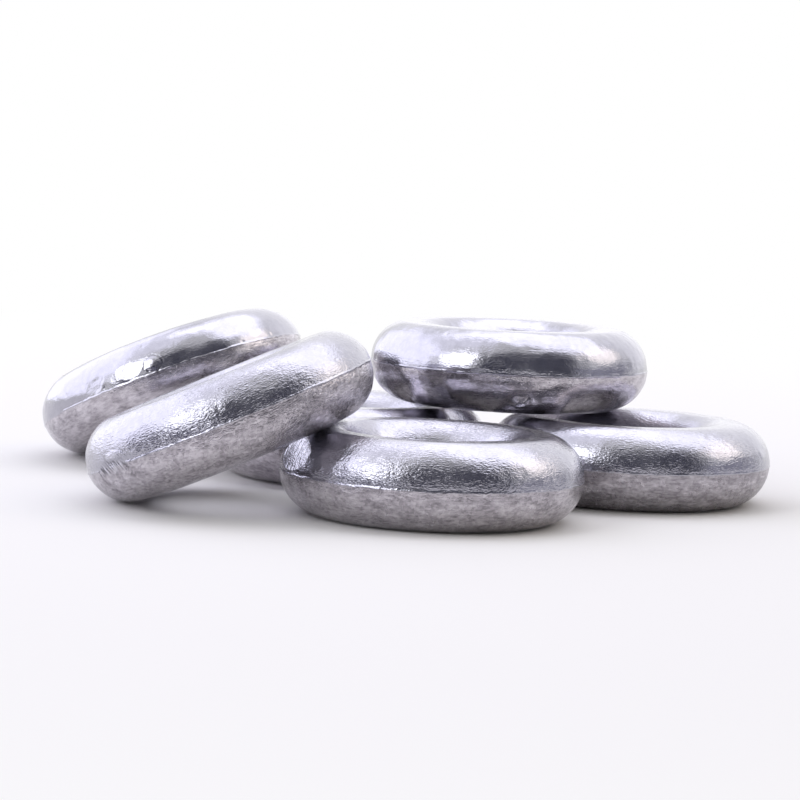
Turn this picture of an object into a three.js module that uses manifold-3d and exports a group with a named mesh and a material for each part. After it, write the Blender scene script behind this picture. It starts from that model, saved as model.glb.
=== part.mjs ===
// A heap of identical ring sinkers, each one solid casting in lead.
// Millimetres, +Z up. The rings lie on the plane z = 0, and the origin is under the middle of the heap.
import * as THREE from 'three';
import { mergeVertices } from 'three/addons/utils/BufferGeometryUtils.js';
import Module from 'manifold-3d';

const wasm = await Module();
wasm.setup();

// Sizes of one casting
const OUTER_DIAMETER = 39; // across the body, without the flash
const SECTION_DIAMETER = 11.4; // of the round bar that the ring is made of
const LAND_WIDTH = 2.4; // flat crest on the top and on the bottom of the section
const FLASH_HEIGHT = 0.25; // fin of metal left where the two halves of the mould met
const FLASH_WIDTH = 0.5;
const GATE_CUT_DEPTH = 0.3; // how far the shears cut into the rim where the sprue came off

// Facets of one casting
const RING_SEGMENTS = 48;
const ARC_DIVISIONS = 2; // a quarter of the section has twice as many facets

// How the rings lie: bearings and turns in degrees, anticlockwise from above
const SEAT_GAP = 0.3; // between two rings that touch
const RIGHT_BEARING = 46.7; // from the front ring to the right ring
const BACK_TURN = 60; // on to the back ring: three rings that all touch stand at 60 degrees
const TOP_SHIFT_RIGHT = 1.4; // of the top ring, from midway between the two that carry it
const TOP_SHIFT_BACK = 5.4;
const LEFT_FRONT_TURN = 69; // on from the back ring to the ring that leans on the front ring
const LEFT_FRONT_STANDOFF = 0; // its high end lies right over the front ring's crest
const LEFT_BACK_TURN = 51.5; // on to the ring that leans on the back ring
const LEFT_BACK_STANDOFF = 1.8; // its high end stops this far short of the back ring's crest

// Where each ring's gate mark faces, turned about the ring's own axis
const GATE_TURNS = {
  front_ring: 207,
  right_ring: 65,
  back_ring: 40,
  top_ring: 120,
  left_front_ring: 40,
  left_back_ring: 104,
};

const LEAD_COLOUR = 0x9a9aa2;
const LEAD_ROUGHNESS = 0.35;

const SECTION_RADIUS = SECTION_DIAMETER / 2;
const OUTER_RADIUS = OUTER_DIAMETER / 2;
const CORE_RADIUS = OUTER_RADIUS - SECTION_RADIUS; // of the circle through the section's centre
const LAND_HEIGHT = Math.sqrt(SECTION_RADIUS ** 2 - (LAND_WIDTH / 2) ** 2); // from the section's centre
const TOUCHING_DISTANCE = OUTER_DIAMETER + 2 * FLASH_HEIGHT + SEAT_GAP; // of two flat rings' centres
const LEANING_DISTANCE = LAND_HEIGHT + SECTION_RADIUS + SEAT_GAP; // of a leaning section and a flat one

const radians = THREE.MathUtils.degToRad;

// The section's outline: four arcs, with a flat land above and below and a flash fin on each side
function sectionOutline() {
  const landAngle = Math.acos(LAND_WIDTH / 2 / SECTION_RADIUS);
  const flashAngle = Math.asin(FLASH_WIDTH / 2 / SECTION_RADIUS);
  const finTip = SECTION_RADIUS + FLASH_HEIGHT;
  const halfTurn = Math.PI;
  const outline = new THREE.Path();
  outline.absarc(CORE_RADIUS, 0, SECTION_RADIUS, flashAngle, landAngle);
  outline.absarc(CORE_RADIUS, 0, SECTION_RADIUS, halfTurn - landAngle, halfTurn - flashAngle);
  outline.lineTo(CORE_RADIUS - finTip, 0);
  outline.absarc(CORE_RADIUS, 0, SECTION_RADIUS, halfTurn + flashAngle, halfTurn + landAngle);
  outline.absarc(CORE_RADIUS, 0, SECTION_RADIUS, 2 * halfTurn - landAngle, 2 * halfTurn - flashAngle);
  outline.lineTo(CORE_RADIUS + finTip, 0);
  outline.closePath();
  return outline.getPoints(ARC_DIVISIONS);
}

function toSolid(geometry) {
  geometry.deleteAttribute('normal');
  geometry.deleteAttribute('uv');
  const merged = mergeVertices(geometry);
  return new wasm.Manifold(
    new wasm.Mesh({
      numProp: 3,
      vertProperties: new Float32Array(merged.attributes.position.array),
      triVerts: new Uint32Array(merged.index.array),
    }),
  );
}

function toGeometry(solid) {
  const mesh = solid.getMesh();
  const geometry = new THREE.BufferGeometry();
  geometry.setAttribute('position', new THREE.BufferAttribute(mesh.vertProperties, 3));
  geometry.setIndex(new THREE.BufferAttribute(mesh.triVerts, 1));
  geometry.computeVertexNormals();
  return geometry;
}

// One ring about +Z, with the flat that the shears left on its rim facing +X
function castRing() {
  const body = new THREE.LatheGeometry(sectionOutline(), RING_SEGMENTS);
  body.rotateX(Math.PI / 2);
  const sprue = new THREE.BoxGeometry(OUTER_RADIUS, OUTER_DIAMETER, SECTION_DIAMETER);
  sprue.translate(OUTER_RADIUS - GATE_CUT_DEPTH + OUTER_RADIUS / 2, 0, 0);
  return toGeometry(toSolid(body).subtract(toSolid(sprue)));
}

const casting = castRing();
const heap = new THREE.Group();

// Puts a ring at a centre, tipped down by tilt towards a bearing
function placeRing(name, centre, bearing, tilt) {
  const material = new THREE.MeshStandardMaterial({
    color: LEAD_COLOUR,
    roughness: LEAD_ROUGHNESS,
    metalness: 1,
  });
  const ring = new THREE.Mesh(casting, material);
  ring.name = name;
  ring.rotation.z = radians(GATE_TURNS[name]);
  const seat = new THREE.Group();
  seat.position.copy(centre);
  seat.rotation.set(0, tilt, radians(bearing), 'ZYX');
  seat.add(ring);
  heap.add(seat);
}

// The point at a distance from another, on a bearing
function beside(centre, bearing, distance) {
  const step = new THREE.Vector3(Math.cos(radians(bearing)), Math.sin(radians(bearing)), 0);
  return centre.clone().addScaledVector(step, distance);
}

function layFlat(name, centre) {
  placeRing(name, centre, 0, 0);
}

// Leans a ring on a flat one: its low end is on the table, and its high end on the flat ring's crest
function leanOn(name, support, bearing, standoff) {
  const rise = Math.sqrt(LEANING_DISTANCE ** 2 - standoff ** 2);
  const tilt = Math.asin(rise / (2 * CORE_RADIUS));
  const centre = beside(support, bearing, CORE_RADIUS * (1 + Math.cos(tilt)) + standoff);
  centre.z = SECTION_RADIUS + rise / 2;
  placeRing(name, centre, bearing, tilt);
}

// Three rings lie flat on the table and touch each other
const backBearing = RIGHT_BEARING + BACK_TURN;
const front = new THREE.Vector3(0, 0, LAND_HEIGHT);
const right = beside(front, RIGHT_BEARING, TOUCHING_DISTANCE);
const back = beside(front, backBearing, TOUCHING_DISTANCE);
layFlat('front_ring', front);
layFlat('right_ring', right);
layFlat('back_ring', back);

// One lies on the crests of the right ring and the back ring
const acrossBearing = THREE.MathUtils.radToDeg(Math.atan2(right.y - back.y, right.x - back.x));
const midway = right.clone().lerp(back, 0.5);
const top = beside(beside(midway, acrossBearing, TOP_SHIFT_RIGHT), acrossBearing + 90, TOP_SHIFT_BACK);
top.z = 3 * LAND_HEIGHT + SEAT_GAP;
layFlat('top_ring', top);

// Two lean on the left, one in front of the other
leanOn('left_front_ring', front, backBearing + LEFT_FRONT_TURN, LEFT_FRONT_STANDOFF);
leanOn('left_back_ring', back, backBearing + LEFT_BACK_TURN, LEFT_BACK_STANDOFF);

// Moves the origin under the middle of the heap
const bounds = new THREE.Box3().setFromObject(heap, true);
const middle = bounds.getCenter(new THREE.Vector3());
heap.position.set(-middle.x, -middle.y, -bounds.min.z);

export default heap;
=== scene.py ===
import logging
import math
from dataclasses import dataclass, field
from enum import Enum

import bpy
import numpy as np
from mathutils import Euler, Matrix, Vector


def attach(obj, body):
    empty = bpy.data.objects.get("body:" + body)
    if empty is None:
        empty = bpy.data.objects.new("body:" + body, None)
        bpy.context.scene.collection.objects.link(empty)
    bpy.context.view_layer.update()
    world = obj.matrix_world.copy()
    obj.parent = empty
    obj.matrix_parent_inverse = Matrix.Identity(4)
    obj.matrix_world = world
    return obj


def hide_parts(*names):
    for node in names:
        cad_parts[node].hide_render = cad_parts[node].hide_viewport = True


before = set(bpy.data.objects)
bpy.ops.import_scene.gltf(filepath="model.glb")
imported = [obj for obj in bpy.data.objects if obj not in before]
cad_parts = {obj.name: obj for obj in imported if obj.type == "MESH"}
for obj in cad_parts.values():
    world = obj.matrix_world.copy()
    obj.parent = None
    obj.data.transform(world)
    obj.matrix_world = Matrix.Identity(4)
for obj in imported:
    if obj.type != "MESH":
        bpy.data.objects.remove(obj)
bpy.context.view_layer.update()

LOG = logging.getLogger("ring_sinkers")
MM = 0.001
WHITE = "#FFFFFF"
MIDDLE = 0.5  # of noise and of a lamp's cloth, which both run from 0 to 1
MARK_VALUES = ("width", "rise", "stretch")

Tree = bpy.types.NodeTree
Node = bpy.types.Node
Socket = bpy.types.NodeSocket
Feed = Node | Socket | str | float | tuple[float, ...]  # what a node's input can take


def linear(hex_colour: str) -> tuple[float, float, float, float]:
    """Turns an sRGB hex colour into linear light.

    Args:
        hex_colour: The colour as "#RRGGBB".

    Returns:
        Red, green and blue in linear light, and full opacity.
    """
    parts = [int(hex_colour[i:i + 2], 16) / 255 for i in (1, 3, 5)]
    light = [p / 12.92 if p <= 0.04045 else ((p + 0.055) / 1.055) ** 2.4 for p in parts]
    return light[0], light[1], light[2], 1.0


def add_node(
    tree: Tree, kind: str, feeds: dict[int | str, Feed] | None = None, **settings: object
) -> Node:
    """Adds one node to a tree, sets it and joins it to what feeds it.

    Args:
        tree: The tree that gets the node.
        kind: Blender's own name for the node.
        feeds: A value, a socket or a node for each input, which is named or counted among
            those in use.
        settings: The node's properties.

    Returns:
        The new node.
    """
    node = tree.nodes.new(kind)
    for name, value in settings.items():
        setattr(node, name, value)
    in_use = [socket for socket in node.inputs if socket.enabled]
    for key, value in (feeds or {}).items():
        socket = in_use[key] if isinstance(key, int) else next(s for s in in_use if s.name == key)
        if isinstance(value, Node):
            value = next(s for s in value.outputs if s.enabled)
        if isinstance(value, Socket):
            tree.links.new(value, socket)
        else:
            socket.default_value = value
    return node


def math_node(tree: Tree, operation: str, *values: Feed) -> Node:
    """Adds a node that reckons with numbers."""
    return add_node(tree, "ShaderNodeMath", dict(enumerate(values)), operation=operation)


def vector_node(tree: Tree, operation: str, *values: Feed) -> Node:
    """Adds a node that reckons with vectors."""
    return add_node(tree, "ShaderNodeVectorMath", dict(enumerate(values)), operation=operation)


def mix_node(tree: Tree, *values: Feed) -> Node:
    """Adds a node that mixes two colours, given the second one's share and then both."""
    return add_node(tree, "ShaderNodeMix", dict(enumerate(values)), data_type="RGBA")


def ramp_node(
    tree: Tree, value: Feed, start: Feed, end: Feed, low: Feed, high: Feed,
    smooth: bool = False, clamp: bool = True,
) -> Node:
    """Adds a node that turns the range from start to end into the one from low to high."""
    return add_node(
        tree, "ShaderNodeMapRange", dict(enumerate((value, start, end, low, high))), clamp=clamp,
        interpolation_type="SMOOTHSTEP" if smooth else "LINEAR")


def swing_node(tree: Tree, noise: Feed, reach: float) -> Node:
    """Adds a node that turns noise into a swing to both sides of 0."""
    return ramp_node(tree, noise, 0.0, 1.0, -reach, reach, clamp=False)


def noise_node(tree: Tree, place: Feed, size: float, detail: float = 2.0, **more: Feed) -> Node:
    """Adds noise, with its size in the place's own unit and other inputs by their names."""
    return add_node(tree, "ShaderNodeTexNoise", {
        "Vector": place, "Scale": 1 / size, "Detail": detail, **more})


def off_axis(tree: Tree, place: Feed) -> Node:
    """Adds nodes that say how far a point lies from the Z axis."""
    return vector_node(tree, "LENGTH", vector_node(tree, "MULTIPLY", place, (1, 1, 0)))


def off_middle(tree: Tree, share: Feed) -> Node:
    """Adds nodes that say how far a share lies from the middle."""
    return math_node(tree, "ABSOLUTE", math_node(tree, "SUBTRACT", share, MIDDLE))


def lane_noise(
    tree: Tree, place: Feed, width: float, length: float, detail: float = 2.0, shift: Feed = 0.0
) -> Node:
    """Adds noise that is drawn out round the Z axis and closes on itself.

    Args:
        tree: The tree that gets the nodes.
        place: Where the noise is read, in millimetres from the ring's middle.
        width: Its size across, in millimetres.
        length: Its size round the ring.
        detail: How many finer sizes it has.
        shift: A number that makes the noise of one casting differ from the next.

    Returns:
        The noise.
    """
    own = add_node(tree, "ShaderNodeSeparateXYZ", {0: place}).outputs
    across = [math_node(tree, "MULTIPLY", value, 1 / width)
              for value in (off_axis(tree, place), own["Z"])]
    along = [math_node(tree, "MULTIPLY_ADD", own[axis], 1 / length, shift) for axis in ("X", "Y")]
    lane = add_node(tree, "ShaderNodeCombineXYZ", {0: across[0], 1: across[1], 2: along[0]})
    return add_node(tree, "ShaderNodeTexNoise", {
        "Vector": lane, "W": along[1], "Scale": 1.0, "Detail": detail}, noise_dimensions="4D")


def fresh_tree(owner: bpy.types.Material | bpy.types.Light | bpy.types.World) -> Tree:
    """Gives a material, a lamp or a world an empty node tree."""
    owner.use_nodes = True
    owner.node_tree.nodes.clear()
    return owner.node_tree


def new_object(name: str, data: bpy.types.ID) -> bpy.types.Object:
    """Makes an object and puts it into the scene."""
    made = bpy.data.objects.new(name, data)
    bpy.context.scene.collection.objects.link(made)
    return made


def eased(share: float) -> float:
    """Keeps a share between 0 and 1, and eases it in and out."""
    share = min(1.0, max(0.0, share))
    return share * share * (3 - 2 * share)


class Ring(Enum):
    """The six castings of the heap, by the name of their solid."""

    FRONT = "front_ring"
    RIGHT = "right_ring"
    BACK = "back_ring"
    TOP = "top_ring"
    LEFT_FRONT = "left_front_ring"
    LEFT_BACK = "left_back_ring"


class Trace(Enum):
    """What the casting tree leaves on the mesh for the finish to read."""

    PLACE = "cast_place"  # millimetres in the casting's own frame, the gate on +X
    RUB = "rubbed"  # 1 where the ring rubs on others: the flash and the lands
    UNDER = "lower_half"  # 1 below the parting line
    GRAIN = "mould_grain"  # how much of the mould's grain this casting took
    DULL = "dulled"  # how much of its underside has dulled
    # Painted highlight where above 0, on ridges and blister crowns; painted shade where below 0, in
    # grooves and folds
    RIDGE_LIGHT_GROOVE_SHADE = "ridge_light_groove_shade"  # above 0 on torn ridges and on blisters, below 0 in grooves and folds


@dataclass(frozen=True)
class CastLead:
    """Lead as it left the mould: a bright skin crinkled by its grain, with dull oxide below.

    The eye gets clear reflections that break up into glitter, a duller and warmer grey under
    the ring, painted paler than its oxide as light from below, and cleaner metal where the
    shears cut. Torn ridges and blister crowns are painted lighter as highlight, and grooves and
    folds darker as shade. The finest crinkle of a real casting is smaller than the picture
    shows, so it is drawn a little coarser.
    """

    name: str = "cast_lead_skin"
    bright: str = "#B1B0B9"
    dull: str = "#A6A5AE"
    # Fresh-cut metal with painted highlight, on torn ridges and blister crowns
    fresh_cut_and_highlight: str = "#D2D1DA"
    # Painted shade in the grooves of the tear and the folds round blisters
    painted_groove_shade: str = "#6A6970"
    # The underside's oxide tones, painted paler than they are as light from below
    under_pale_lit_from_below: str = "#D4CFD5"
    under_dark_lit_from_below: str = "#918C92"
    smooth: float = 0.11
    rough: float = 0.17
    under_rough: float = 0.14
    oxide: float = 0.2  # share of the underside's look that is matt oxide
    bare: float = 0.4  # how rough and how matt the barest underside is beside the dullest
    cloud_mm: float = 6.0
    cloud_roughness: float = 0.6
    cloud_detail: float = 5.0
    mottle_mm: float = 0.9
    mottle_roughness: float = 0.7
    mottle_bend: float = 0.4
    dull_range: tuple[float, float] = (0.8, 1.2)  # cloud and mottle added, bright to dull
    grain_mm: float = 0.3
    grain_length_mm: float = 0.85
    grain_depth_mm: float = 0.19
    worn_mm: float = 4.5  # size of the places that took more of the grain, or less
    worn_least: float = 0.55
    worn_range: tuple[float, float] = (0.38, 0.6)
    frost_mm: float = 0.24
    frost_depth_mm: float = 0.04
    patch_mm: float = 1.3
    patch_length_mm: float = 2.4
    patch_range: tuple[float, float] = (0.76, 1.38)  # patch, crinkle and crystals, pale to dark
    dulled_share: float = 0.2
    facet_mm: float = 0.6  # crystals of the underside
    facet_stray_mm: float = 0.8
    facet_share: float = 0.5
    facet_depth_mm: float = 0.06
    streak_mm: float = 0.5
    streak_length_mm: float = 8.0
    streak_depth_mm: float = 0.02

    def material(self) -> bpy.types.Material:
        """Makes the lead's material.

        Returns:
            The material.
        """
        material = bpy.data.materials.new(self.name)
        tree = fresh_tree(material)
        coords = add_node(tree, "ShaderNodeTexCoord").outputs["Object"]
        traces = {trace: add_node(tree, "ShaderNodeAttribute", attribute_name=trace.value).outputs
                  for trace in Trace}
        place = traces[Trace.PLACE]["Vector"]
        rubbed, under, taken, dulled, ridge_light_groove_shade = (traces[trace]["Fac"] for trace in (
            Trace.RUB, Trace.UNDER, Trace.GRAIN, Trace.DULL, Trace.RIDGE_LIGHT_GROOVE_SHADE))

        # Clouds of oxide on the bright half
        cloud = noise_node(tree, coords, self.cloud_mm * MM, self.cloud_detail,
                           Roughness=self.cloud_roughness)
        mottle = noise_node(tree, coords, self.mottle_mm * MM, self.cloud_detail,
                            Roughness=self.mottle_roughness, Distortion=self.mottle_bend)
        both = math_node(tree, "ADD", cloud, mottle)
        dullness = ramp_node(tree, both, *self.dull_range, 0.0, 1.0)

        # The crinkle of the skin, and patches and crystals of oxide on the underside
        crinkle = lane_noise(tree, place, self.grain_mm, self.grain_length_mm)
        patch = lane_noise(tree, place, self.patch_mm, self.patch_length_mm)
        facet = math_node(
            tree, "MULTIPLY", self.facets(tree, coords, mottle.outputs["Color"]), taken)
        spread = math_node(tree, "MULTIPLY_ADD", dulled, self.dulled_share, crinkle)
        spread = math_node(tree, "ADD", patch, spread)
        spread = math_node(tree, "MULTIPLY_ADD", facet, self.facet_share, spread)
        patches = ramp_node(tree, spread, *self.patch_range, 0.0, 1.0)

        # Tones of both halves, the underside painted paler as light from below, then of rubbed
        # places, of torn ridges and blister crowns painted lighter as highlight, and of grooves and
        # folds painted darker as shade
        upper = mix_node(tree, dullness, linear(self.bright), linear(self.dull))
        lower = mix_node(tree, patches, linear(self.under_pale_lit_from_below), linear(self.under_dark_lit_from_below))
        colour = mix_node(tree, under, upper, lower)
        # Painted shade in grooves and folds, where the share is below 0
        painted_shade_share = math_node(tree, "MULTIPLY", ridge_light_groove_shade, -1.0)
        for share, tone in ((rubbed, self.bright), (ridge_light_groove_shade, self.fresh_cut_and_highlight), (painted_shade_share, self.painted_groove_shade)):
            colour = mix_node(tree, share, colour, linear(tone))

        # Matt oxide on the underside, and a smoother skin where the ring rubs
        coated = ramp_node(tree, dulled, 0.0, 1.0, self.bare, 1.0)
        coated = math_node(tree, "MULTIPLY", under, coated)
        metal = math_node(tree, "MULTIPLY_ADD", coated, -self.oxide, 1.0)
        roughness = ramp_node(tree, dullness, 0.0, 1.0, self.smooth, self.rough)
        roughness = math_node(tree, "MULTIPLY_ADD", coated, self.under_rough, roughness)
        roughness = add_node(tree, "ShaderNodeMix", {0: rubbed, 1: roughness, 2: self.smooth})

        # Relief too fine for the mesh, where worn places show less of the mould's grain
        worn = noise_node(tree, coords, self.worn_mm * MM)
        worn = ramp_node(tree, worn, *self.worn_range, self.worn_least, 1.0)
        taken = math_node(tree, "MULTIPLY", taken, worn)
        streak = lane_noise(tree, place, self.streak_mm, self.streak_length_mm)
        frost = noise_node(tree, coords, self.frost_mm * MM, detail=1.0)
        below: dict[str, Node] = {}
        for strength, depth_mm, height in (
            (1.0, self.streak_depth_mm, streak), (taken, self.frost_depth_mm, frost),
            (taken, self.grain_depth_mm, off_middle(tree, crinkle)),
            (under, self.facet_depth_mm, facet),
        ):
            below = {"Normal": add_node(tree, "ShaderNodeBump", {
                "Strength": strength, "Distance": depth_mm * MM, "Height": height, **below})}
        lead = add_node(tree, "ShaderNodeBsdfPrincipled", {
            "Base Color": colour, "Metallic": metal, "Roughness": roughness, **below})
        add_node(tree, "ShaderNodeOutputMaterial", {"Surface": lead})
        return material

    def facets(self, tree: Tree, coords: Socket, stray: Socket) -> Node:
        """Makes crystals that each slope their own way, with crooked borders.

        Args:
            tree: The material's tree.
            coords: The place on the piece, in metres.
            stray: The noise that bends the borders.

        Returns:
            The crystals' height, about 0 in the middle of each.
        """
        bent = vector_node(tree, "MULTIPLY_ADD", stray, (self.facet_stray_mm * MM,) * 3, coords)
        cells = add_node(tree, "ShaderNodeTexVoronoi", {
            "Vector": bent, "Scale": 1 / (self.facet_mm * MM)}).outputs
        inside = vector_node(tree, "SUBTRACT", bent, cells["Position"])
        slope = vector_node(tree, "SUBTRACT", cells["Color"], (MIDDLE,) * 3)
        fall = vector_node(tree, "DOT_PRODUCT", inside, slope)
        return math_node(tree, "MULTIPLY", fall, 1 / (self.facet_mm * MM))


@dataclass(frozen=True)
class GateScar:
    """The flat left on the rim where the sprue was sheared off."""

    turn: float  # degrees round the ring's axis
    depth: float = 0.3  # millimetres cut off the rim
    slope: float = 0.0  # degrees that the flat looks up from the parting plane


@dataclass(frozen=True)
class Mark:
    """A blister or a dent in the skin of one casting."""

    around: float  # degrees round from the gate
    across: float  # degrees across the section, up from the outer rim
    width: float  # millimetres from its middle to its edge
    rise: float  # millimetres above the skin, or below it where it is less than 0
    stretch: float = 1.0  # how much longer it is round the ring than across it


@dataclass(frozen=True)
class SkinLayer:
    """One size of unevenness that the mould and the cooling metal leave."""

    wave_mm: float
    depth_mm: float
    share: str = ""  # the input that says how much of it a casting has, if castings differ


@dataclass
class CastingTree:
    """The Geometry Nodes tree that makes one cast ring, in millimetres, and seats it."""

    layers: tuple[SkinLayer, ...] = (
        SkinLayer(9.0, 0.08), SkinLayer(2.6, 0.036, "Flow"),
        SkinLayer(1.5, 0.018, "Mould Grain"), SkinLayer(0.7, 0.006, "Mould Grain"))
    seed_step: tuple[float, float, float] = (31.7, 17.9, 11.3)
    crowding: float = 0.55  # how much closer the rows of the mesh lie at the parting line
    gate_crowding: float = 0.55  # and at the gate
    wander_wave: float = 2.2
    wander: float = 0.16  # how far the parting line strays up and down
    parting_range: tuple[float, float] = (-0.14, 0.06)  # heights where the lower half ends
    land_blend: float = 0.12
    land_rub: float = 0.6  # how much the lands are rubbed, beside the flash
    land_rub_depth: float = 0.3
    flash_wave: float = 1.7
    flash_range: tuple[float, float] = (0.35, 0.6)  # of the noise, lowest to full flash
    flash_least: float = 0.3
    streak_wave: float = 1.1
    streak_length: float = 9.0
    streak_depth: float = 0.014
    pit_spacing: float = 1.7
    pit_width: float = 0.24  # of the spacing
    pit_depth: float = 0.05
    pit_share: float = 0.3
    crown: float = 0.3  # share of a blister's width that is level
    blob_wave: float = 1.3
    blob: float = 0.5  # how far a blister's outline strays, as a share of its width
    # Painted highlight on a high blister's crown and painted shade in the fold round its foot
    blister_highlight_and_shade: float = 0.45  # how much a high blister differs in tone from the skin round it
    fold_range: tuple[float, float] = (0.05, 0.15)  # rises from low blisters to high ones
    fold_width: float = 0.18  # of a blister's width
    fold_depth: float = 0.04
    burr_width: float = 0.05
    burr_height: float = 0.04
    flatness: float = 0.8  # of the shears' cut, where 1 is a plane
    ragged_wave: float = 0.9
    ragged_depth: float = 0.09
    tear_wave: float = 0.26
    tear_length: float = 2.2
    tear_slant: float = 0.5
    tear_range: tuple[float, float] = (0.38, 0.62)  # of the noise, groove to ridge
    tear_depth: float = 0.06
    tear_reach: float = 1.3  # how far from the parting line the shears tear the metal
    sockets: dict[str, str] = field(default_factory=dict)
    tree: Tree = field(init=False)
    given: bpy.types.bpy_prop_collection = field(init=False)  # the tree's inputs
    radial: Node = field(init=False)  # level, from the ring's axis to the point
    normal: Node = field(init=False)  # out of the bar at the point
    point: Node = field(init=False)  # on the plain bar
    level: Socket = field(init=False)  # the point's height above the parting plane
    above: Node = field(init=False)  # its height above the crooked parting line
    grain: Node = field(init=False)  # where its noise is read
    fin: Node = field(init=False)  # 1 on the full flash
    under: Node = field(init=False)  # 1 on the lower half
    rubbed: Node = field(init=False)  # 1 where the ring rubs on others

    def build(self) -> Tree:
        """Builds the whole tree, ready for a modifier."""
        self.tree = bpy.data.node_groups.new("cast_ring", "GeometryNodeTree")
        self.declare()
        self.given = add_node(self.tree, "NodeGroupInput").outputs
        ring = self.sweep()
        self.section()
        lifted = self.lift()
        seated = self.close_mould(lifted)
        cut, ridge_light_groove_shade = self.shear(seated)
        place, ridge_light_groove_shade = self.blister(cut, ridge_light_groove_shade)
        self.finish(ring, place, ridge_light_groove_shade)
        return self.tree

    def declare(self) -> None:
        """Names the tree's inputs and keeps their identifiers."""
        number, vector = "NodeSocketFloat", "NodeSocketVector"
        interface = self.tree.interface
        interface.new_socket("Geometry", in_out="OUTPUT", socket_type="NodeSocketGeometry")
        for name, kind in {
            "Marks": "NodeSocketGeometry", "Core Radius": number, "Section Radius": number,
            "Land Height": number, "Flash Height": number, "Flash Width": number,
            "Gate Depth": number, "Gate Slope": number, "Mismatch": vector,
            "Mould Grain": number, "Flow": number, "Dulled": number, "Seed": number,
            "Rows Around": "NodeSocketInt", "Rows Across": "NodeSocketInt",
            "Seat Centre": vector, "Seat Turn": vector, "Lead": "NodeSocketMaterial",
        }.items():
            socket = interface.new_socket(name, in_out="INPUT", socket_type=kind)
            self.sockets[name] = socket.identifier

    def sweep(self) -> Node:
        """Sweeps a round bar along the ring's core."""
        core, bar = (add_node(self.tree, "GeometryNodeCurvePrimitiveCircle", {
            "Resolution": self.given[rows], "Radius": self.given[radius]})
            for rows, radius in (("Rows Around", "Core Radius"), ("Rows Across", "Section Radius")))
        return add_node(self.tree, "GeometryNodeCurveToMesh", {"Curve": core, "Profile Curve": bar})

    def section(self) -> None:
        """Works out where each point lies, with rows crowded to the parting line and the gate."""
        tree, given = self.tree, self.given
        swept = add_node(tree, "GeometryNodeInputPosition")
        own = add_node(tree, "ShaderNodeSeparateXYZ", {0: swept}).outputs
        around = math_node(tree, "ARCTAN2", own["Y"], own["X"])
        wave = math_node(tree, "SINE", around)
        around = math_node(tree, "MULTIPLY_ADD", wave, -self.gate_crowding, around)
        self.radial = add_node(tree, "ShaderNodeCombineXYZ", {
            0: math_node(tree, "COSINE", around), 1: math_node(tree, "SINE", around)})
        beyond = math_node(tree, "SUBTRACT", off_axis(tree, swept), given["Core Radius"])
        angle = math_node(tree, "ARCTAN2", own["Z"], beyond)
        wave = math_node(tree, "SINE", math_node(tree, "MULTIPLY", angle, 2.0))
        angle = math_node(tree, "MULTIPLY_ADD", wave, -self.crowding / 2, angle)
        side = vector_node(tree, "SCALE", self.radial, math_node(tree, "COSINE", angle))
        rise = add_node(tree, "ShaderNodeCombineXYZ", {"Z": math_node(tree, "SINE", angle)})
        self.normal = vector_node(tree, "ADD", side, rise)
        core = vector_node(tree, "SCALE", self.radial, given["Core Radius"])
        arm = vector_node(tree, "SCALE", self.normal, given["Section Radius"])
        self.point = vector_node(tree, "ADD", core, arm)
        seeded = vector_node(tree, "SCALE", self.seed_step, given["Seed"])
        self.grain = vector_node(tree, "ADD", self.point, seeded)
        stray = swing_node(tree, noise_node(tree, self.grain, self.wander_wave), self.wander)
        self.level = add_node(tree, "ShaderNodeSeparateXYZ", {0: self.point}).outputs["Z"]
        self.above = math_node(tree, "ADD", self.level, stray)

    def raised(self, place: Node, height: Node) -> Node:
        """Moves each point by a height along the bar's normal."""
        offset = vector_node(self.tree, "SCALE", self.normal, height)
        return vector_node(self.tree, "ADD", place, offset)

    def lift(self) -> Node:
        """Raises and sinks the skin: unevenness, flow streaks, pits and the flash."""
        heights = [*self.unevenness(), self.streaks(), self.pits(), self.flash()]
        total = heights[0]
        for height in heights[1:]:
            total = math_node(self.tree, "ADD", total, height)
        return self.raised(self.point, total)

    def unevenness(self) -> list[Node]:
        """Makes one height for each layer of the skin, from broad sags to fine ripples."""
        heights = []
        for layer in self.layers:
            noise = noise_node(self.tree, self.grain, layer.wave_mm, detail=1.0)
            height = swing_node(self.tree, noise, layer.depth_mm)
            if layer.share:
                height = math_node(self.tree, "MULTIPLY", height, self.given[layer.share])
            heights.append(height)
        return heights

    def streaks(self) -> Node:
        """Gives the height of low ridges that run round the ring, as the metal flowed."""
        noise = lane_noise(self.tree, self.point, self.streak_wave, self.streak_length,
                           detail=1.0, shift=self.given["Seed"])
        height = swing_node(self.tree, noise, self.streak_depth)
        return math_node(self.tree, "MULTIPLY", height, self.given["Flow"])

    def pits(self) -> Node:
        """Gives the depth of small pits, scattered where gas stayed in the mould."""
        tree = self.tree
        cells = add_node(tree, "ShaderNodeTexVoronoi", {
            "Vector": self.grain, "Scale": 1 / self.pit_spacing}).outputs
        chance = add_node(tree, "ShaderNodeSeparateXYZ", {0: cells["Color"]}).outputs["X"]
        chosen = math_node(tree, "LESS_THAN", chance, self.pit_share)
        bowl = ramp_node(tree, cells["Distance"], 0.0, self.pit_width, -self.pit_depth, 0.0,
                         smooth=True)
        return math_node(tree, "MULTIPLY", bowl, chosen)

    def flash(self) -> Node:
        """Gives the height of the uneven fin of metal along the parting line."""
        tree, given = self.tree, self.given
        off_line = math_node(tree, "ABSOLUTE", self.above)
        half = math_node(tree, "MULTIPLY", given["Flash Width"], 0.5)
        ridge = ramp_node(tree, off_line, 0.0, half, 1.0, 0.0, smooth=True)
        noise = noise_node(tree, self.grain, self.flash_wave)
        left = ramp_node(tree, noise, *self.flash_range, self.flash_least, 1.0)
        self.fin = math_node(tree, "MULTIPLY", ridge, left)
        return math_node(tree, "MULTIPLY", self.fin, given["Flash Height"])

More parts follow.
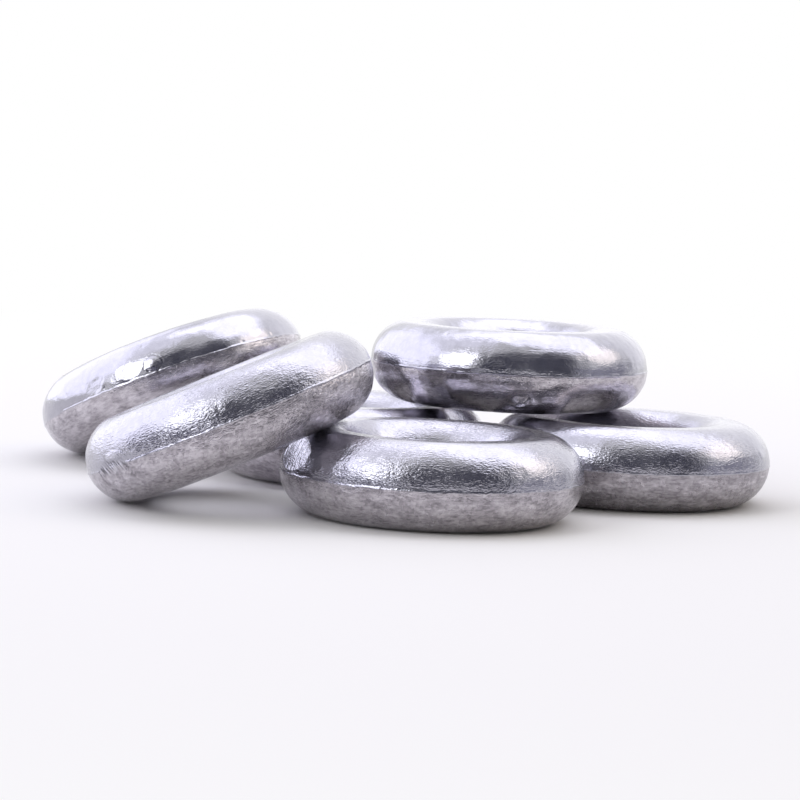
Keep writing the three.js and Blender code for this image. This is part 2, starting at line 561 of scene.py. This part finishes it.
    def close_mould(self, lifted: Node) -> Node:
        """Flattens the lands, and shifts the lower half as a mould does that closes a little off.

        Args:
            lifted: The place of each point.

        Returns:
            The node with the new places.
        """
        tree, land = self.tree, self.given["Land Height"]
        split = add_node(tree, "ShaderNodeSeparateXYZ", {0: lifted}).outputs
        below = math_node(tree, "MULTIPLY", land, -1.0)
        height = math_node(tree, "SMOOTH_MIN", split["Z"], land, self.land_blend)
        height = math_node(tree, "SMOOTH_MAX", height, below, self.land_blend)
        pressed = add_node(tree, "ShaderNodeCombineXYZ", {
            0: split["X"], 1: split["Y"], 2: height})
        self.under = ramp_node(tree, self.above, *self.parting_range, 1.0, 0.0, smooth=True)
        shift = vector_node(tree, "SCALE", self.given["Mismatch"], self.under)
        rub_start = math_node(tree, "SUBTRACT", land, self.land_rub_depth)
        on_land = ramp_node(
            tree, math_node(tree, "ABSOLUTE", height), rub_start, land, 0.0, self.land_rub)
        self.rubbed = math_node(tree, "MAXIMUM", self.fin, on_land)
        return vector_node(tree, "ADD", pressed, shift)

    def shear(self, seated: Node) -> tuple[Node, Node]:
        """Cuts the flat of the gate scar, tears it near the parting line and leaves a low burr.

        Args:
            seated: The place of each point before the cut.

        Returns:
            The node with the new places, and one with the ridges and grooves of the tear.
        """
        tree, given = self.tree, self.given

        # Strokes of the shears, which slant across the rim
        slant = add_node(tree, "ShaderNodeCombineXYZ", {
            "Y": math_node(tree, "MULTIPLY", self.level, self.tear_slant)})
        lane = vector_node(tree, "MULTIPLY", vector_node(tree, "ADD", self.grain, slant), (
            1 / self.tear_length, 1 / self.tear_wave, 1 / self.tear_length))
        noise = noise_node(tree, lane, 1.0, detail=0.0)
        stroke = ramp_node(tree, noise, *self.tear_range, -1.0, 1.0)
        near = ramp_node(tree, math_node(tree, "ABSOLUTE", self.above), 0.0, self.tear_reach,
                         given["Mould Grain"], 0.0, smooth=True)
        stroke = math_node(tree, "MULTIPLY", stroke, near)

        # How far each point lies over the ragged plane of the cut
        cosine = math_node(tree, "COSINE", given["Gate Slope"])
        sine = math_node(tree, "SINE", given["Gate Slope"])
        facing = add_node(tree, "ShaderNodeCombineXYZ", {"X": cosine, "Z": sine})
        rim = math_node(
            tree, "MULTIPLY_ADD", given["Core Radius"], cosine, given["Section Radius"])
        plane = math_node(tree, "SUBTRACT", rim, given["Gate Depth"])
        height = vector_node(tree, "DOT_PRODUCT", seated, facing)
        over = math_node(tree, "SUBTRACT", height, plane)
        noise = noise_node(tree, self.grain, self.ragged_wave)
        over = math_node(tree, "ADD", over, swing_node(tree, noise, self.ragged_depth))

        # The cut, the burr round it and the tears on it, whose ridges the finish paints lighter
        # as highlight and whose grooves it paints darker as shade
        removed = math_node(tree, "MAXIMUM", over, 0.0)
        burr = ramp_node(tree, math_node(tree, "ABSOLUTE", over), 0.0, self.burr_width,
                         self.burr_height, 0.0, smooth=True)
        burr = math_node(tree, "MULTIPLY", burr, given["Mould Grain"])
        drop = math_node(tree, "MULTIPLY_ADD", removed, -self.flatness, burr)
        on_flat = ramp_node(tree, over, 0.0, self.burr_width, 0.0, 1.0)
        ridge_light_groove_shade = math_node(tree, "MULTIPLY", stroke, on_flat)
        drop = math_node(tree, "MULTIPLY_ADD", ridge_light_groove_shade, self.tear_depth, drop)
        step = vector_node(tree, "SCALE", facing, drop)
        return vector_node(tree, "ADD", seated, step), ridge_light_groove_shade

    def at_mark(self, nearest: Node, value: Node, kind: str) -> Node:
        """Reads a value of the nearest mark."""
        return add_node(self.tree, "GeometryNodeSampleIndex", {
            "Geometry": self.given["Marks"], "Value": value, "Index": nearest},
            data_type=kind, domain="POINT")

    def blister(self, cut: Node, ridge_light_groove_shade: Node) -> tuple[Node, Node]:
        """Raises the nearest blister with a fold round its foot, or sinks the nearest dent.

        Args:
            cut: The place of each point.
            ridge_light_groove_shade: The ridges and grooves that the shears tore.

        Returns:
            The node with the new places, and one with the ridges, the grooves and the folds.
        """
        tree = self.tree
        nearest = add_node(tree, "GeometryNodeSampleNearest", {
            "Geometry": self.given["Marks"], "Sample Position": self.point}, domain="POINT")
        middle = self.at_mark(nearest, add_node(tree, "GeometryNodeInputPosition"), "FLOAT_VECTOR")
        width, rise, stretch = (self.at_mark(nearest, add_node(
            tree, "GeometryNodeInputNamedAttribute", {"Name": name}, data_type="FLOAT"), "FLOAT")
            for name in MARK_VALUES)

        # How far off the mark's middle a point lies, as a share of its uneven width
        away = vector_node(tree, "SUBTRACT", self.point, middle)
        along = vector_node(tree, "CROSS_PRODUCT", self.radial, (0, 0, 1))
        run = vector_node(tree, "DOT_PRODUCT", away, along)
        drawn_in = math_node(tree, "SUBTRACT", math_node(tree, "DIVIDE", 1.0, stretch), 1.0)
        shift = vector_node(tree, "SCALE", along, math_node(tree, "MULTIPLY", run, drawn_in))
        distance = vector_node(tree, "LENGTH", vector_node(tree, "ADD", away, shift))
        uneven = swing_node(tree, noise_node(tree, self.grain, self.blob_wave), self.blob)
        share = math_node(tree, "ADD", math_node(tree, "DIVIDE", distance, width), uneven)

        # The crown and the fold round its foot, with a painted highlight on the crown
        # and painted shade in the fold
        height = ramp_node(tree, share, self.crown, 1.0, rise, 0.0, smooth=True)
        off_foot = math_node(tree, "ABSOLUTE", math_node(tree, "SUBTRACT", share, 1.0))
        blister_highlight_and_shade = ramp_node(tree, rise, *self.fold_range, 0.0, self.blister_highlight_and_shade)
        fold_and_painted_shade = ramp_node(tree, off_foot, 0.0, self.fold_width, blister_highlight_and_shade, 0.0, smooth=True)
        height = math_node(tree, "MULTIPLY_ADD", fold_and_painted_shade, -self.fold_depth, height)
        # The crown is painted lighter as highlight, and the fold darker as shade
        crown_highlight = ramp_node(tree, share, self.crown, 1.0, blister_highlight_and_shade, 0.0)
        ridge_light_groove_shade = math_node(tree, "ADD", ridge_light_groove_shade, crown_highlight)
        return self.raised(cut, height), math_node(tree, "SUBTRACT", ridge_light_groove_shade, fold_and_painted_shade)

    def finish(self, ring: Node, place: Node, ridge_light_groove_shade: Node) -> None:
        """Moves the mesh to its shape, lays it in its seat and dresses it.

        Args:
            ring: The node with the swept mesh.
            place: The final place of each point, in the casting's own frame.
            ridge_light_groove_shade: The ridges, the grooves and the folds.
        """
        tree, given = self.tree, self.given
        for trace, value in {
            Trace.PLACE: place, Trace.RUB: self.rubbed, Trace.UNDER: self.under,
            Trace.GRAIN: given["Mould Grain"], Trace.DULL: given["Dulled"], Trace.RIDGE_LIGHT_GROOVE_SHADE: ridge_light_groove_shade,
        }.items():
            kind = "FLOAT_VECTOR" if trace is Trace.PLACE else "FLOAT"
            ring = add_node(tree, "GeometryNodeStoreNamedAttribute", {
                "Geometry": ring, "Name": trace.value, "Value": value},
                data_type=kind, domain="POINT")
        cast = add_node(tree, "GeometryNodeInputNamedAttribute", {
            "Name": Trace.PLACE.value}, data_type="FLOAT_VECTOR")
        ring = add_node(tree, "GeometryNodeSetPosition", {"Geometry": ring, "Position": cast})
        turn = add_node(tree, "FunctionNodeEulerToRotation", {0: given["Seat Turn"]})
        ring = add_node(tree, "GeometryNodeTransform", {
            "Geometry": ring, "Translation": given["Seat Centre"], "Rotation": turn,
            "Scale": (MM, MM, MM)})
        ring = add_node(tree, "GeometryNodeSetShadeSmooth", {0: ring})
        ring = add_node(tree, "GeometryNodeRealizeInstances", {0: ring})
        ring = add_node(tree, "GeometryNodeSetMaterial", {
            "Geometry": ring, "Material": given["Lead"]})
        add_node(tree, "NodeGroupOutput", {0: ring})


@dataclass(frozen=True)
class Seat:
    """Where a ring lies: the middle of its hole, and the way that its axis points."""

    centre: Vector
    axis: Vector
    level: float = math.radians(1.0)  # a ring that leans less than this lies flat

    @classmethod
    def of_node(cls, node: bpy.types.Object) -> "Seat":
        """Finds the seat from a solid's own volume and how it is spread.

        Args:
            node: The solid's object in the frame.

        Returns:
            The seat.
        """
        mesh = node.data
        mesh.calc_loop_triangles()
        points = np.array([v.co for v in mesh.vertices], float)
        corners = points[np.array([t.vertices for t in mesh.loop_triangles])]
        centre = points.mean(axis=0)

        # Each triangle makes a tetrahedron with the centre, which the first round corrects
        for _ in range(2):
            local = corners - centre
            volume = np.einsum("ij,ij->i", local[:, 0], np.cross(local[:, 1], local[:, 2])) / 6
            whole = local.sum(axis=1)
            centre = centre + (volume[:, None] * whole).sum(axis=0) / 4 / volume.sum()
        spread = np.einsum("n,nij,nik->jk", volume, local, local) + np.einsum(
            "n,nj,nk->jk", volume, whole, whole)
        axis = np.linalg.eigh(spread)[1][:, 0]
        return cls(Vector(centre), Vector(axis if axis[2] > 0 else -axis))

    def turn(self, gate_turn: float) -> Euler:
        """Gives the turn from a flat ring with its gate on +X.

        Args:
            gate_turn: Degrees that the gate is turned about the ring's axis.

        Returns:
            The turn as Euler angles.
        """
        lean = math.acos(min(1.0, self.axis.z))
        bearing = math.atan2(self.axis.y, self.axis.x) if lean > self.level else 0.0
        whole = (Matrix.Rotation(bearing, 3, "Z") @ Matrix.Rotation(lean, 3, "Y")
                 @ Matrix.Rotation(math.radians(gate_turn), 3, "Z"))
        return whole.to_euler()


@dataclass
class CastRing:
    """One ring sinker: a single casting in lead, with sizes in millimetres."""

    ring: Ring
    gate: GateScar
    seed: float
    mould_grain: float  # 1 is the roughest casting of the heap
    dulled: float  # 1 is the dullest underside of the heap
    marks: tuple[Mark, ...]
    mismatch: tuple[float, float]  # the lower half's shift, from the gate and round from it
    core_radius: float = 13.8
    section_radius: float = 5.7
    land_height: float = 5.572
    flash_height: float = 0.08
    flash_width: float = 0.34
    flow: float = 1.0  # how strongly the waves and ridges of the flowing metal show
    rows_around: int = 600
    rows_across: int = 160

    def mark_points(self) -> bpy.types.Object:
        """Sets out the casting's marks as one object with points on the bar's surface."""
        places = []
        for mark in self.marks:
            around, across = math.radians(mark.around), math.radians(mark.across)
            reach = self.core_radius + self.section_radius * math.cos(across)
            places.append((reach * math.cos(around), reach * math.sin(around),
                           self.section_radius * math.sin(across)))
        mesh = bpy.data.meshes.new(f"{self.ring.value}_marks")
        mesh.from_pydata(places, [], [])
        for name in MARK_VALUES:
            values = mesh.attributes.new(name, "FLOAT", "POINT")
            values.data.foreach_set("value", [getattr(mark, name) for mark in self.marks])
        return new_object(mesh.name, mesh)

    def build(
        self, casting: CastingTree, tree: Tree, lead: bpy.types.Material
    ) -> bpy.types.Object:
        """Casts the ring, and puts it on its body in place of the solid.

        Args:
            casting: The tree's maker, which knows its inputs.
            tree: The Geometry Nodes tree.
            lead: The finish of the casting.

        Returns:
            The finished piece.
        """
        node = self.ring.value
        seat = Seat.of_node(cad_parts[node])
        points = self.mark_points()
        modifier = points.modifiers.new("casting", "NODES")
        modifier.node_group = tree
        for name, value in {
            "Core Radius": self.core_radius, "Section Radius": self.section_radius,
            "Land Height": self.land_height, "Flash Height": self.flash_height,
            "Flash Width": self.flash_width, "Gate Depth": self.gate.depth,
            "Gate Slope": math.radians(self.gate.slope), "Mismatch": (*self.mismatch, 0.0),
            "Mould Grain": self.mould_grain, "Flow": self.flow, "Dulled": self.dulled,
            "Seed": self.seed, "Rows Around": self.rows_around, "Rows Across": self.rows_across,
            "Seat Centre": tuple(seat.centre), "Seat Turn": tuple(seat.turn(self.gate.turn)),
            "Lead": lead,
        }.items():
            modifier[casting.sockets[name]] = value
        depsgraph = bpy.context.evaluated_depsgraph_get()
        mesh = bpy.data.meshes.new_from_object(
            points.evaluated_get(depsgraph), preserve_all_data_layers=True, depsgraph=depsgraph)
        mesh.name = f"{node}_casting"
        points.modifiers.remove(modifier)
        bpy.data.objects.remove(points)
        piece = new_object(mesh.name, mesh)
        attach(piece, node)
        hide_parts(node)
        LOG.info("%s: %d faces", piece.name, len(mesh.polygons))
        return piece


@dataclass(frozen=True)
class SoftBox:
    """A soft lamp, given by where it is seen from the heap and how wide it looks from there."""

    name: str
    azimuth: float  # degrees, 0 on the camera's side, and it grows to the right
    elevation: float
    width: float  # degrees
    height: float
    glow: float  # radiance, where 1 is white
    colour: str
    distance: float = 1.0
    soft: float = 0.25  # share of its width, and of its height, over which each edge fades out

    def build(self) -> bpy.types.Object:
        """Hangs the lamp.

        Returns:
            The lamp's object.
        """
        azimuth, elevation = math.radians(self.azimuth), math.radians(self.elevation)
        towards = Vector((math.sin(azimuth) * math.cos(elevation),
                          -math.cos(azimuth) * math.cos(elevation), math.sin(elevation)))
        lamp = bpy.data.lights.new(self.name, "AREA")
        lamp.shape = "RECTANGLE"
        lamp.size = 2 * self.distance * math.tan(math.radians(self.width / 2))
        lamp.size_y = 2 * self.distance * math.tan(math.radians(self.height / 2))
        lamp.energy = math.pi * lamp.size * lamp.size_y * self.glow
        lamp.color = linear(self.colour)[:3]
        tree = fresh_tree(lamp)
        cloth = add_node(tree, "ShaderNodeNewGeometry").outputs["Parametric"]
        level = 1.0
        for side in add_node(tree, "ShaderNodeSeparateXYZ", {0: cloth}).outputs[:2]:
            shine = ramp_node(tree, off_middle(tree, side), MIDDLE - self.soft, MIDDLE, 1.0, 0.0,
                              smooth=True)
            level = math_node(tree, "MULTIPLY", level, shine)
        light = add_node(tree, "ShaderNodeEmission", {"Strength": level})
        add_node(tree, "ShaderNodeOutputLight", {"Surface": light})
        holder = new_object(self.name, lamp)
        holder.location = towards * self.distance
        holder.rotation_euler = (-towards).to_track_quat("-Z", "Y").to_euler()
        return holder


@dataclass(frozen=True)
class ShadeCard:
    """A curved card out of the picture, on the floor, that gives the metal its dark side."""

    name: str
    colour: str
    start: float  # degrees of azimuth
    end: float
    top: float  # degrees of elevation
    start_fade: float  # degrees over which the card thins out to nothing at its edge
    end_fade: float
    top_fade: float
    radius: float = 0.62
    gaps: float = 0.0  # how much of the room shows through the card's thin places
    gap_size: float = 0.22
    gap_squash: float = 3.0  # how much lower than wide the thin places are
    gap_range: tuple[float, float] = (0.5, 0.66)  # of the noise, dense to thin
    columns: int = 48
    rows: int = 16

    def finish(self) -> bpy.types.Material:
        """Makes the matt card's material, which lets light through where the card thins out.

        Returns:
            The material.
        """
        material = bpy.data.materials.new(f"matt_{self.name}")
        tree = fresh_tree(material)
        cover = add_node(tree, "ShaderNodeAttribute", attribute_name="cover").outputs["Fac"]
        coords = add_node(tree, "ShaderNodeTexCoord").outputs["Object"]
        drawn = vector_node(tree, "MULTIPLY", coords, (1, 1, self.gap_squash))
        noise = noise_node(tree, drawn, self.gap_size)
        left = ramp_node(tree, noise, *self.gap_range, 1.0, 1.0 - self.gaps)
        cover = math_node(tree, "MULTIPLY", cover, left)
        board = add_node(tree, "ShaderNodeBsdfDiffuse", {"Color": linear(self.colour)})
        clear = add_node(tree, "ShaderNodeBsdfTransparent")
        mixed = add_node(tree, "ShaderNodeMixShader", {0: cover, 1: clear, 2: board})
        add_node(tree, "ShaderNodeOutputMaterial", {"Surface": mixed})
        return material

    def cover(self, azimuth: float, elevation: float) -> float:
        """Says how dense the card is in one direction, from 0 at its edges to 1."""
        dense = 1.0
        for inside, fade in (
            (azimuth - self.start, self.start_fade), (self.end - azimuth, self.end_fade),
            (self.top - elevation, self.top_fade),
        ):
            dense *= eased(inside / fade)
        return dense

    def build(self) -> bpy.types.Object:
        """Stands the card up.

        Returns:
            The card's object.
        """
        corners, dense, faces = [], [], []
        for i in range(self.columns + 1):
            azimuth = self.start + (self.end - self.start) * i / self.columns
            x, y = math.sin(math.radians(azimuth)), -math.cos(math.radians(azimuth))
            for j in range(self.rows + 1):
                elevation = self.top * j / self.rows
                corners.append((x * self.radius, y * self.radius,
                                self.radius * math.tan(math.radians(elevation))))
                dense.append(self.cover(azimuth, elevation))
        for i in range(self.columns):
            for j in range(self.rows):
                k = i * (self.rows + 1) + j
                faces.append((k, k + 1, k + self.rows + 2, k + self.rows + 1))
        mesh = bpy.data.meshes.new(self.name)
        mesh.from_pydata(corners, [], faces)
        mesh.attributes.new("cover", "FLOAT", "POINT").data.foreach_set("value", dense)
        mesh.materials.append(self.finish())
        card = new_object(self.name, mesh)
        card.visible_camera = card.visible_diffuse = card.visible_shadow = False
        return card


@dataclass(frozen=True)
class Studio:
    """The pale floor, the soft light and the white room."""

    floor_colour: str = "#F5F4F1"
    room_colour: str = "#FFFDF8"
    room_light: float = 0.38
    floor_reach: float = 4.0
    floor_drop: float = 0.00003
    fade_start: float = 0.10
    fade_end: float = 0.34
    lamps: tuple[SoftBox, ...] = (
        SoftBox("window_left", azimuth=-48, elevation=31, width=29, height=46,
                glow=2.8, colour="#F6F8FF"),
        SoftBox("window_left_back", azimuth=-113, elevation=25, width=100, height=66,
                glow=1.42, colour="#E7E7FF"),
        SoftBox("window_right", azimuth=99, elevation=35, width=40, height=29,
                glow=1.3, colour="#FFF1E4"),
        SoftBox("overhead_back", azimuth=140, elevation=66, width=80, height=54,
                glow=1.6, colour="#F0F0FF"),
        SoftBox("overhead_left", azimuth=-110, elevation=66, width=64, height=44,
                glow=0.6, colour="#E7E7FF"),
        SoftBox("fill_back", azimuth=158, elevation=22, width=76, height=52,
                glow=0.4, colour="#F4F2FF"),
    )
    cards: tuple[ShadeCard, ...] = (
        ShadeCard("card_front", "#494A55", start=-36, end=80, top=71,
                  start_fade=22, end_fade=30, top_fade=24, gaps=0.4),
        ShadeCard("card_right", "#A8A9B2", start=55, end=135, top=20,
                  start_fade=10, end_fade=30, top_fade=8, radius=0.6),
        ShadeCard("card_low_left", "#858693", start=-76, end=-10, top=18,
                  start_fade=16, end_fade=12, top_fade=7, radius=0.1),
    )

    def seen(self, tree: Tree) -> Node:
        """Makes a mask of the camera, glossy and transmission rays, which see a white room."""
        path = add_node(tree, "ShaderNodeLightPath").outputs
        mask = math_node(tree, "MAXIMUM", path["Is Camera Ray"], path["Is Glossy Ray"])
        return math_node(tree, "MAXIMUM", mask, path["Is Transmission Ray"])

    def floor_finish(self) -> bpy.types.Material:
        """Makes the matt pale floor, which turns into the white room further out.

        Returns:
            The material.
        """
        material = bpy.data.materials.new("pale_matt_board")
        tree = fresh_tree(material)
        material.cycles.emission_sampling = "NONE"
        coords = add_node(tree, "ShaderNodeTexCoord").outputs["Object"]
        away = vector_node(tree, "LENGTH", coords)
        fade = ramp_node(tree, away, self.fade_start, self.fade_end, 0.0, 1.0, smooth=True)
        share = math_node(tree, "MULTIPLY", fade, self.seen(tree))
        board = add_node(tree, "ShaderNodeBsdfDiffuse", {"Color": linear(self.floor_colour)})
        white = add_node(tree, "ShaderNodeEmission", {"Color": linear(WHITE), "Strength": 1.0})
        mixed = add_node(tree, "ShaderNodeMixShader", {0: share, 1: board, 2: white})
        add_node(tree, "ShaderNodeOutputMaterial", {"Surface": mixed})
        return material

    def build(self) -> None:
        """Sets up the room, the floor, the cards and the lamps."""
        world = bpy.data.worlds.new("white_room")
        bpy.context.scene.world = world
        tree = fresh_tree(world)
        white = add_node(tree, "ShaderNodeBackground", {"Color": linear(WHITE), "Strength": 1.0})
        light = add_node(tree, "ShaderNodeBackground", {
            "Color": linear(self.room_colour), "Strength": self.room_light})
        mixed = add_node(tree, "ShaderNodeMixShader", {0: self.seen(tree), 1: light, 2: white})
        add_node(tree, "ShaderNodeOutputWorld", {"Surface": mixed})

        reach = self.floor_reach
        mesh = bpy.data.meshes.new("floor")
        sides = ((-reach, -reach), (reach, -reach), (reach, reach), (-reach, reach))
        mesh.from_pydata([(x, y, -self.floor_drop) for x, y in sides], [], [(0, 1, 2, 3)])
        mesh.materials.append(self.floor_finish())
        floor = new_object("floor", mesh)
        for card in self.cards:
            card.build()
        for lamp in self.lamps:
            lamp.build()


@dataclass(frozen=True)
class PhotoCamera:
    """The camera, at the photograph's viewing angle."""

    place_mm: tuple[float, float, float] = (-0.06, -379.3, 47.63)
    pitch: float = 5.291  # degrees down
    roll: float = 2.686
    lens_mm: float = 125.73
    sensor_mm: float = 36.0
    nearest: float = 0.01  # metres
    furthest: float = 50.0

    def build(self) -> bpy.types.Object:
        """Sets up the camera and makes it the scene's own.

        Returns:
            The camera's object.
        """
        lens = bpy.data.cameras.new("camera")
        lens.lens, lens.sensor_width = self.lens_mm, self.sensor_mm
        lens.clip_start, lens.clip_end = self.nearest, self.furthest
        camera = new_object("camera", lens)
        camera.matrix_world = (
            Matrix.Translation(Vector(self.place_mm) * MM)
            @ Matrix.Rotation(math.radians(90 - self.pitch), 4, "X")
            @ Matrix.Rotation(math.radians(self.roll), 4, "Z"))
        bpy.context.scene.camera = camera
        return camera


RINGS = (
    CastRing(
        Ring.FRONT, GateScar(202, 0.44, 26.0), seed=1.0, mould_grain=0.82, dulled=0.6,
        mismatch=(0.08, 0.05), marks=(
            Mark(67, -20, 1.2, -0.03, 2.0), Mark(99, 21, 1.5, -0.05, 1.7),
            Mark(21, 14, 0.8, 0.05, 1.4), Mark(25, 32, 1.1, -0.06, 1.5),
            Mark(31, 17, 0.9, -0.05, 1.6), Mark(36, 38, 1.2, 0.05, 1.4),
            Mark(29, 52, 1.1, 0.05, 1.3))),
    CastRing(
        Ring.RIGHT, GateScar(65), seed=2.0, mould_grain=0.7, dulled=1.0,
        mismatch=(0.05, 0.07), marks=(
            Mark(-119, 34, 1.6, -0.03, 2.0), Mark(-107, 26, 1.2, 0.06, 1.4),
            Mark(-99, 38, 1.3, -0.06, 1.3), Mark(-90, 22, 1.0, 0.05, 1.2))),
    CastRing(
        Ring.BACK, GateScar(40), seed=3.0, mould_grain=0.6, dulled=0.0,
        mismatch=(-0.06, 0.05), marks=(Mark(180, 20, 1.5, 0.03),)),
    CastRing(
        Ring.TOP, GateScar(120), seed=4.0, mould_grain=0.35, dulled=0.0,
        mismatch=(0.04, -0.06), flow=2.6, marks=(Mark(153.5, -42, 1.2, 0.4, 1.3),)),
    CastRing(
        Ring.LEFT_FRONT, GateScar(44, 0.26, -5.0), seed=5.0, mould_grain=1.0, dulled=0.4,
        mismatch=(0.09, 0.0), flash_height=0.17, flow=1.5, marks=(
            Mark(3.5, 13.5, 0.85, 0.13, 2.5), Mark(8.3, -7, 0.9, -0.12, 0.25),
            Mark(46, 17, 0.9, 0.05, 1.3), Mark(56, 26, 1.0, 0.05, 1.3),
            Mark(71, 30, 1.6, -0.04, 2.0), Mark(121, 26, 0.5, -0.05, 2.0),
            Mark(165, -105, 3.0, -0.16, 1.5), Mark(107, -104, 3.0, -0.16, 1.5))),
    CastRing(
        Ring.LEFT_BACK, GateScar(100, 0.11, 15.0), seed=6.0, mould_grain=0.25, dulled=0.2,
        mismatch=(0.06, 0.04), flash_height=0.1, flow=1.7, marks=(
            Mark(11, 13, 1.1, 0.13, 1.2), Mark(-16, 15, 1.5, -0.12, 1.4),
            Mark(-11, 3, 0.8, -0.05))),
)


def main() -> None:
    """Builds the camera, the studio and the six rings in order."""
    logging.basicConfig(level=logging.INFO, format="%(name)s: %(message)s")
    bpy.context.scene.view_settings.view_transform = "Standard"
    PhotoCamera().build()
    Studio().build()
    casting = CastingTree()
    tree = casting.build()
    lead = CastLead().material()
    for ring in RINGS:
        ring.build(casting, tree, lead)


if __name__ == "__main__":
    main()
